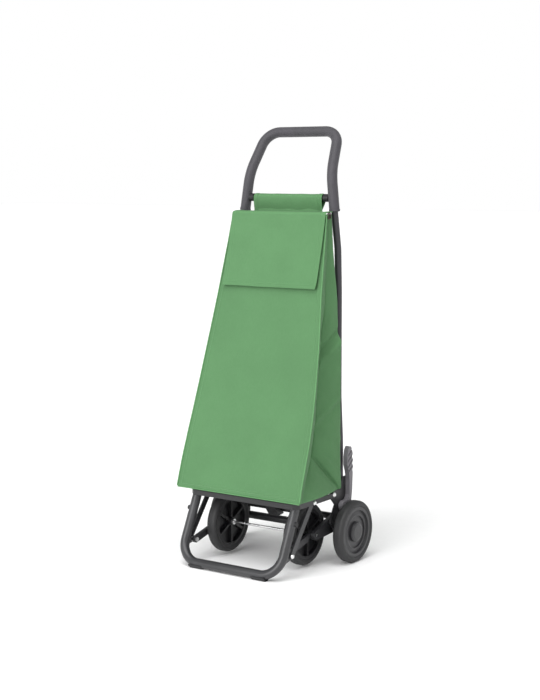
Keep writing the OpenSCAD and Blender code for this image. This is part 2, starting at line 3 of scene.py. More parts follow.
import bpy
import numpy as np
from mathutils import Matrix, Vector

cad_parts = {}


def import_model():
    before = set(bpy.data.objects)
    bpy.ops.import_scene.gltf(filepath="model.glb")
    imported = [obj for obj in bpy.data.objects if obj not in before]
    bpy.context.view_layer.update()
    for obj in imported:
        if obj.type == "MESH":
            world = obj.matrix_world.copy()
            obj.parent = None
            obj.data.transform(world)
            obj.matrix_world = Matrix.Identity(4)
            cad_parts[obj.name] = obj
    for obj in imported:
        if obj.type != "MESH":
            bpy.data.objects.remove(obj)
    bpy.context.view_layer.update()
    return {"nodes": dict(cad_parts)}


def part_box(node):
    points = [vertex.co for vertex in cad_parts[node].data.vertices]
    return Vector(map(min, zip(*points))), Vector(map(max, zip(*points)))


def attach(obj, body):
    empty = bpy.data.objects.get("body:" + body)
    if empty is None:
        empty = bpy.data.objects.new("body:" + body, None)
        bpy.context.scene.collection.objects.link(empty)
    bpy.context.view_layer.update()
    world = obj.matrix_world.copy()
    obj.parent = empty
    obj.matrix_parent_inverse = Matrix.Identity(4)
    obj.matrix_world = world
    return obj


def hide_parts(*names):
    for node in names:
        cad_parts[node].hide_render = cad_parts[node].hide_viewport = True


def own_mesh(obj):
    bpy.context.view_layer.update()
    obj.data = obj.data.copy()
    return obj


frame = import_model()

# ---------------------------------------------------------------- stations
# Sizes are in millimetres. Y is counted from the foot bar's centre line, as in the CAD source,
# and world() turns a point into the row frame in metres.
AXLE_Y = 259.0
axle_lo, axle_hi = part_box("main_axle")
Y0 = (axle_lo.y + axle_hi.y) / 2 * 1000 - AXLE_Y


def world(points):
    p = np.asarray(points, float).reshape(-1, 3)
    return (p + [0, Y0, 0]) / 1000


def node_mm(name):
    lo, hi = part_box(name)
    return (np.array(lo) * 1000 - [0, Y0, 0]), (np.array(hi) * 1000 - [0, Y0, 0])


front_lo, front_hi = node_mm("bag_front")
back_lo, back_hi = node_mm("bag_back")
floor_lo, floor_hi = node_mm("bag_floor")
top_lo, top_hi = node_mm("lid_top")
flap_lo, flap_hi = node_mm("lid_flap")
bar_lo, bar_hi = node_mm("crossbar")

Z_LOW = floor_hi[2]
Z_TOP = front_hi[2]
W_LOW = front_hi[0]
W_TOP = top_hi[0] - 1
Y_FRONT_LOW = front_lo[1]
Y_FRONT_TOP = flap_hi[1] + 3
Y_BACK_LOW = back_hi[1] - 1.6
Y_BACK_TOP = 240.0
CLOTH = 1.5
# the gusset's valley ends at this height, and a flat triangle hangs from there to FOOT_Z
APEX_Z = 270.0
FOOT_Z = 181.0
# distance from the front edge to the inner line of its double seam
SEAM = 10.6

front_len = math.hypot(Y_FRONT_TOP - Y_FRONT_LOW, Z_TOP - Z_LOW)
UP = np.array([0, (Y_FRONT_TOP - Y_FRONT_LOW) / front_len, (Z_TOP - Z_LOW) / front_len])
OUT = np.array([0, -UP[2], UP[1]])


def lerp(a, b, t):
    return a + (b - a) * t


def smooth(t):
    t = np.clip(t, 0, 1)
    return t * t * (3 - 2 * t)


def waves(a, b, seed, length, count=14):
    """Soft random relief, about -1 to 1, of points a and b in mm with wavelengths near length."""
    rng = np.random.default_rng(seed)
    total = np.zeros(np.broadcast(a, b).shape)
    for _ in range(count):
        angle = rng.uniform(0, math.pi)
        k = 2 * math.pi / (length * rng.uniform(0.6, 1.7))
        phase = rng.uniform(0, 2 * math.pi)
        total = total + np.sin(k * (a * math.cos(angle) + b * math.sin(angle)) + phase)
    return total / math.sqrt(count * 1.4)


def ridge(a, b, start, end, width, height):
    """A soft ridge, or a groove if height is below 0, along a line in the (a, b) plane."""
    s, e = np.array(start, float), np.array(end, float)
    d = e - s
    length = np.linalg.norm(d)
    d = d / length
    along = (a - s[0]) * d[0] + (b - s[1]) * d[1]
    off = (b - s[1]) * d[0] - (a - s[0]) * d[1]
    fade = smooth(along / (0.25 * length) + 0.5) * smooth((length - along) / (0.3 * length) + 0.3)
    return height * np.exp(-((off / width) ** 2)) * fade


# ---------------------------------------------------------------- mesh tools
def make(name, verts, faces, mats=(), cloth=None, smooth_shade=True):
    mesh = bpy.data.meshes.new(name)
    mesh.from_pydata([tuple(v) for v in verts], [], [tuple(int(i) for i in f) for f in faces])
    mesh.update()
    if cloth is not None:
        layer = mesh.attributes.new("cloth_uv", "FLOAT_VECTOR", "POINT")
        layer.data.foreach_set("vector", np.asarray(cloth, np.float32).ravel())
    mesh.shade_smooth() if smooth_shade else mesh.shade_flat()
    obj = bpy.data.objects.new(name, mesh)
    bpy.context.scene.collection.objects.link(obj)
    for m in mats:
        mesh.materials.append(m)
    return obj


def grid_faces(rows, cols, wrap=False, start=0):
    faces = []
    last = cols if wrap else cols - 1
    for i in range(rows - 1):
        for j in range(last):
            k = (j + 1) % cols
            a = start + i * cols
            faces.append((a + j, a + k, a + cols + k, a + cols + j))
    return faces


def tube(points, radius, sides=8, squeeze=1.0, closed=False):
    """Verts and faces of a round tube along points in mm."""
    p = np.asarray(points, float)
    n = len(p)
    if closed:
        tangent = np.roll(p, -1, 0) - np.roll(p, 1, 0)
    else:
        tangent = np.gradient(p, axis=0)
    tangent /= np.linalg.norm(tangent, axis=1)[:, None]
    side = np.cross(tangent[0], [0, 0, 1])
    if np.linalg.norm(side) < 0.2:
        side = np.cross(tangent[0], [1, 0, 0])
    side /= np.linalg.norm(side)
    verts = []
    r = np.broadcast_to(radius, n)
    for i in range(n):
        side = side - tangent[i] * (side @ tangent[i])
        side /= np.linalg.norm(side)
        up = np.cross(side, tangent[i])
        for k in range(sides):
            a = 2 * math.pi * k / sides
            verts.append(p[i] + r[i] * (math.cos(a) * side + squeeze * math.sin(a) * up))
    faces = []
    rings = n if closed else n - 1
    for i in range(rings):
        for k in range(sides):
            a, b = i * sides, ((i + 1) % n) * sides
            m = (k + 1) % sides
            faces.append((a + k, b + k, b + m, a + m))
    if not closed:
        faces.append(tuple(range(sides)))
        faces.append(tuple((n - 1) * sides + k for k in reversed(range(sides))))
    return verts, faces


class Build:
    """Gathers several shapes into one mesh."""

    def __init__(self):
        self.verts, self.faces = [], []

    def add(self, verts, faces):
        start = len(self.verts)
        self.verts += [tuple(v) for v in verts]
        self.faces += [tuple(i + start for i in f) for f in faces]

    def object(self, name, mats):
        return make(name, world(self.verts), self.faces, mats)


def resample(points, step):
    p = np.asarray(points, float)
    seg = np.linalg.norm(np.diff(p, axis=0), axis=1)
    dist = np.concatenate([[0], np.cumsum(seg)])
    count = max(2, int(round(dist[-1] / step)) + 1)
    at = np.linspace(0, dist[-1], count)
    return np.stack([np.interp(at, dist, p[:, i]) for i in range(3)], 1)


# share of the stitch's length, rise and thickness, from end to end
STITCH_SHAPE = ((0, -0.35, 0.5), (0.18, 0.25, 0.95), (0.5, 0.42, 1), (0.82, 0.25, 0.95), (1, -0.35, 0.5))


def stitches(build, line, normal, length=3.4, pitch=4.6, radius=0.42):
    """A row of sewn stitches along a line in mm, each a small thread lozenge that dips at its ends."""
    p = np.asarray(line, float)
    seg = np.linalg.norm(np.diff(p, axis=0), axis=1)
    dist = np.concatenate([[0], np.cumsum(seg)])
    count = int(dist[-1] // pitch)
    nrm = np.asarray(normal, float)
    if nrm.ndim == 1:
        nrm = np.tile(nrm, (len(p), 1))
    start = (dist[-1] - count * pitch + pitch - length) / 2
    for i in range(count):
        ring = []
        for f, lift, r in STITCH_SHAPE:
            d = start + i * pitch + f * length
            q = np.array([np.interp(d, dist, p[:, k]) for k in range(3)])
            n = np.array([np.interp(d, dist, nrm[:, k]) for k in range(3)])
            n /= np.linalg.norm(n)
            ring.append((q + n * lift * radius, r * radius))
        a = np.array([c for c, _ in ring])
        v, fcs = tube(a, np.array([r for _, r in ring]), sides=5)
        build.add(v, fcs)


# ---------------------------------------------------------------- materials
class Nodes:
    def __init__(self, name):
        self.mat = bpy.data.materials.new(name)
        self.mat.use_nodes = True
        self.tree = self.mat.node_tree
        self.bsdf = self.tree.nodes["Principled BSDF"]

    def node(self, kind, **sets):
        n = self.tree.nodes.new(kind)
        for key, value in sets.items():
            if key.startswith("_"):
                setattr(n, key[1:], value)
            else:
                n.inputs[key].default_value = value
        return n

    def link(self, a, b):
        self.tree.links.new(a, b)

    def math(self, op, a, b=None, clamp=False):
        n = self.tree.nodes.new("ShaderNodeMath")
        n.operation, n.use_clamp = op, clamp
        for i, v in enumerate((a, b)):
            if v is None:
                continue
            if isinstance(v, (int, float)):
                n.inputs[i].default_value = v
            else:
                self.link(v, n.inputs[i])
        return n.outputs[0]

    def noise(self, coords, scale, detail=2.0, rough=0.5):
        n = self.node("ShaderNodeTexNoise", Scale=scale, Detail=detail, Roughness=rough)
        self.link(coords, n.inputs["Vector"])
        return n.outputs["Fac"]

    def ramp(self, value, low, high, out_low, out_high):
        n = self.tree.nodes.new("ShaderNodeMapRange")
        n.clamp = True
        self.link(value, n.inputs[0])
        for i, v in enumerate((low, high, out_low, out_high), 1):
            n.inputs[i].default_value = v
        return n.outputs[0]

    def blend(self, factor, a, b, mode="MIX"):
        n = self.tree.nodes.new("ShaderNodeMix")
        n.data_type, n.blend_type = "RGBA", mode
        for socket, v in ((n.inputs[0], factor), (n.inputs[6], a), (n.inputs[7], b)):
            if isinstance(v, (int, float)):
                socket.default_value = v
            elif isinstance(v, tuple):
                socket.default_value = (*v, 1)
            else:
                self.link(v, socket)
        return n.outputs[2]

    def bump(self, height, distance, strength=1.0, before=None):
        n = self.node("ShaderNodeBump", Strength=strength, Distance=distance)
        self.link(height, n.inputs["Height"])
        if before is not None:
            self.link(before, n.inputs["Normal"])
        return n.outputs["Normal"]

    def coords(self):
        return self.tree.nodes.new("ShaderNodeTexCoord").outputs["Object"]

    def pointy(self):
        return self.tree.nodes.new("ShaderNodeNewGeometry").outputs["Pointiness"]

    def finish(self, colour=None, rough=None, normal=None, **constants):
        if colour is not None:
            self.link(colour, self.bsdf.inputs["Base Color"])
        if rough is not None:
            self.link(rough, self.bsdf.inputs["Roughness"])
        if normal is not None:
            self.link(normal, self.bsdf.inputs["Normal"])
        for key, value in constants.items():
            self.bsdf.inputs[key.replace("_", " ")].default_value = value
        return self.mat


def srgb(r, g, b):
    def one(c):
        c /= 255
        return c / 12.92 if c <= 0.04045 else ((c + 0.055) / 1.055) ** 2.4
    return tuple(one(c) for c in (r, g, b))


def scaled(rgb, k):
    return tuple(min(1.0, c * k) for c in rgb)


def fabric(name, rgb, pitch=0.00085, coords="cloth"):
    """Coated canvas: plain weave with painted shade in its gaps, slubs, faint fading in patches and lighter,
    rubbed folds.
    """
    m = Nodes(name)
    if coords == "cloth":
        at = m.node("ShaderNodeAttribute", _attribute_name="cloth_uv").outputs["Vector"]
    else:
        at = m.coords()
    place = m.coords()
    sep = m.tree.nodes.new("ShaderNodeSeparateXYZ")
    m.link(at, sep.inputs[0])
    u = m.math("DIVIDE", sep.outputs[0], pitch)
    v = m.math("DIVIDE", sep.outputs[1], pitch)
    parity = m.math("MODULO", m.math("ADD", m.math("FLOOR", u), m.math("FLOOR", v)), 2.0)
    parity = m.math("ABSOLUTE", parity)
    warp = m.math("SINE", m.math("MULTIPLY", m.math("FRACT", u), math.pi))
    weft = m.math("SINE", m.math("MULTIPLY", m.math("FRACT", v), math.pi))
    weave = m.math(
        "ADD",
        m.math("MULTIPLY", warp, parity),
        m.math("MULTIPLY", weft, m.math("SUBTRACT", 1.0, parity)),
    )
    slub = m.tree.nodes.new("ShaderNodeMapping")
    slub.inputs["Scale"].default_value = (1.0, 0.08, 1.0)
    m.link(at, slub.inputs["Vector"])
    thread = m.noise(slub.outputs[0], 900, 2, 0.6)
    patch = m.noise(place, 9, 3, 0.55)
    fine = m.noise(place, 160, 2, 0.6)
    colour = m.blend(m.ramp(patch, 0.3, 0.7, 0, 1), scaled(rgb, 0.93), scaled(rgb, 1.06))
    colour = m.blend(m.ramp(thread, 0.35, 0.65, 0, 0.35), colour, scaled(rgb, 0.86))
    # painted shade: the canvas is darker in the low gaps between its threads
    colour = m.blend(m.ramp(weave, 0.0, 0.9, 0.30, 0), colour, scaled(rgb, 0.66))
    colour = m.blend(m.ramp(m.pointy(), 0.515, 0.56, 0, 0.30), colour, scaled(rgb, 1.35))
    rough = m.ramp(fine, 0.3, 0.7, 0.58, 0.74)
    normal = m.bump(fine, 0.0004, 0.35)
    normal = m.bump(weave, 0.00022, 0.55, normal)
    return m.finish(colour, rough, normal, Sheen_Weight=0.03, Sheen_Roughness=0.5, Specular_IOR_Level=0.2)


def thread_mat(name, rgb):
    m = Nodes(name)
    at = m.coords()
    twist = m.noise(at, 2600, 2)
    colour = m.blend(m.ramp(twist, 0.3, 0.7, 0, 1), scaled(rgb, 0.8), scaled(rgb, 1.15))
    normal = m.bump(twist, 0.0002, 0.6)
    rough = m.ramp(twist, 0.3, 0.7, 0.45, 0.65)
    return m.finish(colour, rough, normal, Sheen_Weight=0.2)


def paint(name, rgb, rough=(0.36, 0.48), wear=0.45, grain=0.00006):
    """Powder-coated steel: fine orange peel, dust in patches, rubbed edges."""
    m = Nodes(name)
    at = m.coords()
    peel = m.noise(at, 1100, 2, 0.5)
    patch = m.noise(at, 14, 4, 0.6)
    speck = m.noise(at, 420, 3, 0.7)
    colour = m.blend(m.ramp(patch, 0.3, 0.7, 0, 1), scaled(rgb, 0.88), scaled(rgb, 1.14))
    colour = m.blend(m.ramp(speck, 0.66, 0.74, 0, 0.35), colour, scaled(rgb, 1.6))
    edge = m.math("MULTIPLY", m.ramp(m.pointy(), 0.54, 0.62, 0, 1), m.ramp(speck, 0.42, 0.6, 0, wear))
    colour = m.blend(edge, colour, scaled(rgb, 2.6))
    r = m.math("ADD", m.ramp(patch, 0.3, 0.7, rough[0], rough[1]), m.ramp(speck, 0.55, 0.75, 0, 0.1))
    normal = m.bump(peel, grain, 0.7)
    return m.finish(colour, r, normal, Specular_IOR_Level=0.5, Coat_Weight=0.08, Coat_Roughness=0.3)


def plastic(name, rgb, rough=(0.4, 0.55), grain=0.00012, scale=900, scuff=0.35):
    """Moulded plastic with a spark-eroded grain, scuffs and rubbed edges."""
    m = Nodes(name)
    at = m.coords()
    cell = m.node("ShaderNodeTexVoronoi", Scale=scale)
    m.link(at, cell.inputs["Vector"])
    cloud = m.noise(at, 22, 4, 0.6)
    scratch_map = m.tree.nodes.new("ShaderNodeMapping")
    scratch_map.inputs["Rotation"].default_value = (0.3, 0.5, 0.8)
    scratch_map.inputs["Scale"].default_value = (1.0, 0.06, 1.0)
    m.link(at, scratch_map.inputs["Vector"])
    scratch = m.noise(scratch_map.outputs[0], 700, 2, 0.6)
    colour = m.blend(m.ramp(cloud, 0.3, 0.7, 0, 1), scaled(rgb, 0.88), scaled(rgb, 1.12))
    colour = m.blend(m.ramp(scratch, 0.68, 0.74, 0, scuff), colour, scaled(rgb, 1.7))
    colour = m.blend(m.ramp(m.pointy(), 0.53, 0.62, 0, 0.4), colour, scaled(rgb, 1.5))
    r = m.ramp(cloud, 0.3, 0.7, rough[0], rough[1])
    normal = m.bump(cell.outputs["Distance"], grain, 0.6)
    return m.finish(colour, r, normal, Specular_IOR_Level=0.45)


def foam(name, rgb):
    """Closed-cell foam: mottled, matt, with fine cut cells whose pits carry painted shade."""
    m = Nodes(name)
    at = m.coords()
    cell = m.node("ShaderNodeTexVoronoi", Scale=1300.0)
    m.link(at, cell.inputs["Vector"])
    cloud = m.noise(at, 90, 4, 0.65)
    big = m.noise(at, 18, 3, 0.5)
    colour = m.blend(m.ramp(cloud, 0.3, 0.7, 0, 1), scaled(rgb, 0.8), scaled(rgb, 1.22))
    purple = scaled((rgb[0] * 1.04, rgb[1] * 0.97, rgb[2] * 1.06), 1.1)
    colour = m.blend(m.ramp(big, 0.4, 0.65, 0, 0.4), colour, purple)
    # painted shade: darker in the pits of the cut cells
    colour = m.blend(m.ramp(cell.outputs["Distance"], 0.0, 0.35, 0.5, 0), colour, scaled(rgb, 0.55))
    normal = m.bump(cloud, 0.0008, 0.25)
    normal = m.bump(cell.outputs["Distance"], 0.00025, 0.5, normal)
    rough = m.ramp(cloud, 0.3, 0.7, 0.5, 0.66)
    return m.finish(colour, rough, normal, Sheen_Weight=0.1, Specular_IOR_Level=0.42)


def metal(name, rgb, rough=(0.22, 0.38)):
    """Zinc plating: faint turned lines and a cloudy passivation."""
    m = Nodes(name)
    at = m.coords()
    cloud = m.noise(at, 60, 4, 0.6)
    brush_map = m.tree.nodes.new("ShaderNodeMapping")
    brush_map.inputs["Scale"].default_value = (30.0, 1.0, 1.0)
    m.link(at, brush_map.inputs["Vector"])
    brush = m.noise(brush_map.outputs[0], 220, 3, 0.7)
    warm = scaled((rgb[0] * 1.02, rgb[1], rgb[2] * 0.96), 1.08)
    colour = m.blend(m.ramp(cloud, 0.3, 0.7, 0, 1), scaled(rgb, 0.86), warm)
    r = m.math("ADD", m.ramp(cloud, 0.3, 0.7, rough[0], rough[1]), m.ramp(brush, 0.3, 0.7, -0.04, 0.06))
    normal = m.bump(brush, 0.00004, 0.6)
    return m.finish(colour, r, normal, Metallic=1.0)


def rubber(name, rgb, rough=(0.5, 0.68), centre=None):
    """Tyre rubber: fine moulded rings about the wheel's axis, bloom and dust."""
    m = Nodes(name)
    at = m.coords()
    cloud = m.noise(at, 30, 4, 0.6)
    dust = m.noise(at, 260, 3, 0.7)
    fine = m.noise(at, 1500, 2, 0.5)
    colour = m.blend(m.ramp(cloud, 0.3, 0.7, 0, 1), scaled(rgb, 0.85), scaled(rgb, 1.14))
    colour = m.blend(m.ramp(dust, 0.6, 0.72, 0, 0.3), colour, scaled(rgb, 1.7))
    normal = m.bump(fine, 0.0001, 0.6)
    if centre is not None:
        sep = m.tree.nodes.new("ShaderNodeSeparateXYZ")
        m.link(at, sep.inputs[0])
        dy = m.math("SUBTRACT", sep.outputs[1], centre[0])
        dz = m.math("SUBTRACT", sep.outputs[2], centre[1])
        radius = m.math("SQRT", m.math("ADD", m.math("MULTIPLY", dy, dy), m.math("MULTIPLY", dz, dz)))
        rings = m.math("SINE", m.math("MULTIPLY", radius, 2 * math.pi / 0.0022))
        normal = m.bump(rings, 0.00008, 0.5, normal)
    r = m.ramp(cloud, 0.3, 0.7, rough[0], rough[1])
    return m.finish(colour, r, normal, Specular_IOR_Level=0.4)


def dress(material, *names):
    for n in names:
        data = frame["nodes"][n].data
        data.materials.clear()
        data.materials.append(material)


GREEN = (0.084, 0.200, 0.084)
canvas = fabric("canvas_green", GREEN)
canvas_lid = fabric("canvas_green_lid", scaled(GREEN, 1.06))
# painted highlight: the welts' canvas is a lighter copy of the green
welt_canvas_highlit = fabric("canvas_binding", scaled(GREEN, 1.18), coords="object")
thread = thread_mat("thread_green", scaled(GREEN, 1.25))

dress(foam("grip_foam", srgb(58, 57, 61)), "grip")
dress(paint("frame_paint", srgb(42, 42, 46)), "frame_tube")
dress(
    paint("dark_paint", srgb(30, 30, 32)),
    "crossbar", "plate_left", "plate_right", "main_axle", "cross_tube",
)
dress(paint("shelf_paint", srgb(30, 30, 32), wear=0.3), "shelf_frame", "shelf_slats")
dress(paint("foot_paint", srgb(46, 46, 48), rough=(0.3, 0.42)), "foot_tube", "foot_ears", "stays")
dress(paint("arm_paint", srgb(34, 34, 36)), "arm_left", "arm_right", "strut_left", "strut_right")
dress(
    plastic("black_plastic", srgb(24, 24, 26)),
    "crossbar_sleeves", "plate_screws", "tube_plugs", "foot_pads", "foot_bolts", "latch_clip",
)
clip_plastic = plastic("clip_plastic", srgb(44, 22, 20), rough=(0.3, 0.45))
dress(clip_plastic, "lid_clip")
dress(plastic("board_plastic", srgb(26, 26, 28), scale=420, grain=0.0003), "floor_board")
dress(
    metal("zinc", (0.80, 0.81, 0.83)),
    "axle_washers", "shelf_pins", "pedal_pin", "shelf_rivets", "strut_bolts", "aux_axle", "aux_collars",
)
# rim greys: the main rims in their own grey, the aux rims darker as painted shade
RIM_GREY_AND_AUX_SHADE = {"aux": srgb(26, 26, 28), "main": srgb(48, 48, 50)}
for side in ("left", "right"):
    for kind in ("aux", "main"):
        lo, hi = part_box(f"{kind}_tyre_{side}")
        centre = ((lo.y + hi.y) / 2, (lo.z + hi.z) / 2)
        dress(rubber(f"tyre_{kind}_{side}", srgb(42, 42, 43), centre=centre), f"{kind}_tyre_{side}")
        dress(plastic(f"rim_{kind}_{side}", RIM_GREY_AND_AUX_SHADE[kind], rough=(0.34, 0.48)), f"{kind}_rim_{side}")
    dress(plastic(f"cap_{side}", srgb(42, 42, 44), rough=(0.28, 0.4)), f"main_cap_{side}")
dress(plastic("pedal_plastic", srgb(98, 96, 100), rough=(0.42, 0.56), scale=700), "pedal")


def flatten(obj):
    """The bag flattens towards its back panel as the base folds; this function only gives the object its own
    copy of its mesh data.
    """
    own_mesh(obj)


def height_share(z):
    return (z - Z_LOW) / (Z_TOP - Z_LOW)


# how far the filled bag's front edges lie outside and behind the straight line of the seam
BOW_Z = [183, 215, 247, 312, 370, 430, 524, 585, 647, 768, 834]
BOW_X = [0, 1.3, 3.2, 6.2, 6.8, 6.6, 5.2, 3.0, 1.0, 0, 0]
BOW_Y = [0, 0.8, 2.6, 8.5, 12, 13.4, 13, 11, 8.5, 5, 2]


def set_back(z):
    return np.interp(z, BOW_Z, BOW_Y)


def front_edge(z):
    t = height_share(z)
    return lerp(W_LOW, W_TOP, t) + np.interp(z, BOW_Z, BOW_X), lerp(Y_FRONT_LOW, Y_FRONT_TOP, t) + set_back(z)


REAR_Z = [178, 300, 400, 520, 538, 548, 565, 600, 656, 700, 750, 800, 834]
REAR_X = [158, 158.5, 159, 159.3, 159, 155.5, 150.5, 148.5, 145, 139, 133.5, 131, 129.5]


def rear_edge(z):
    return np.interp(z, REAR_Z, REAR_X), lerp(Y_BACK_LOW, Y_BACK_TOP, height_share(z))


def front_bulge(x, z, seed):
    """How far the front panel stands out from its flat plane."""
    t = np.clip(height_share(z), 0, 1)
    w = front_edge(z)[0]
    across = 1 - (x / w) ** 2
    belly = 7.5 * np.clip(across, 0, 1) * np.sin(math.pi * np.clip(t, 0, 1) ** 0.8) ** 0.8 * (1 - 0.55 * t)
    fade = smooth((w - np.abs(x) - SEAM) / 22) * smooth((z - Z_LOW) / 40)
    soft = (0.55 * waves(x, z, seed, 130) + 0.25 * waves(x, z, seed + 1, 60)) * fade
    lines = (
        ridge(x, z, (-150, 200), (-60, 330), 16, 0.9)
        + ridge(x, z, (-120, 215), (20, 300), 13, -0.7)
        + ridge(x, z, (150, 205), (70, 340), 15, 0.9)
        + ridge(x, z, (-135, 560), (-40, 500), 14, 0.6)
        + ridge(x, z, (110, 640), (20, 560), 16, -0.7)
        + ridge(x, z, (60, 250), (-70, 225), 12, 0.6)
    )
    return belly + soft + lines * fade


near = np.array([0, 1.1, 2.3, 4.0, 5.8, 7.3, 8.0, 8.7, 9.8, SEAM, 11.8, 14.5])
FRONT_IN = 30
A_COUNT, T_COUNT, B_COUNT, BACK_COUNT = 15, 15, 22, 26
levels = np.unique(np.concatenate([
    [183.5, 186, 188.6, 189.6, 190.4, 191.4, 193.0, 194.0, 197],
    np.linspace(201, 806, 132),
    [810, 813, 814.2, 816, 816.8, 817.6, 820, 824, 828, 831, 833, Z_TOP],
]))


def seam_relief(s):
    raised = 0.95 * (1 - smooth((s - SEAM + 0.6) / 1.2))
    groove = -0.4 * np.exp(-(((s - 8.0) / 0.7) ** 2))
    return raised + groove


# depth of the gusset's fold, and of the slot along its valley, by height
VALLEY_Z = [181, APEX_Z, 400, 480, 560, 620, 680, 740, 790, 834]
VALLEY_DEPTH = [34, 36, 34, 31, 25, 15, 8, 6, 5, 4]
SLOT_Z = [240, APEX_Z, 340, 480, 560, 640, 834]
SLOT_DEPTH = [6, 11, 10, 9, 7, 2, 0]
SLOT_HALF = 1.4


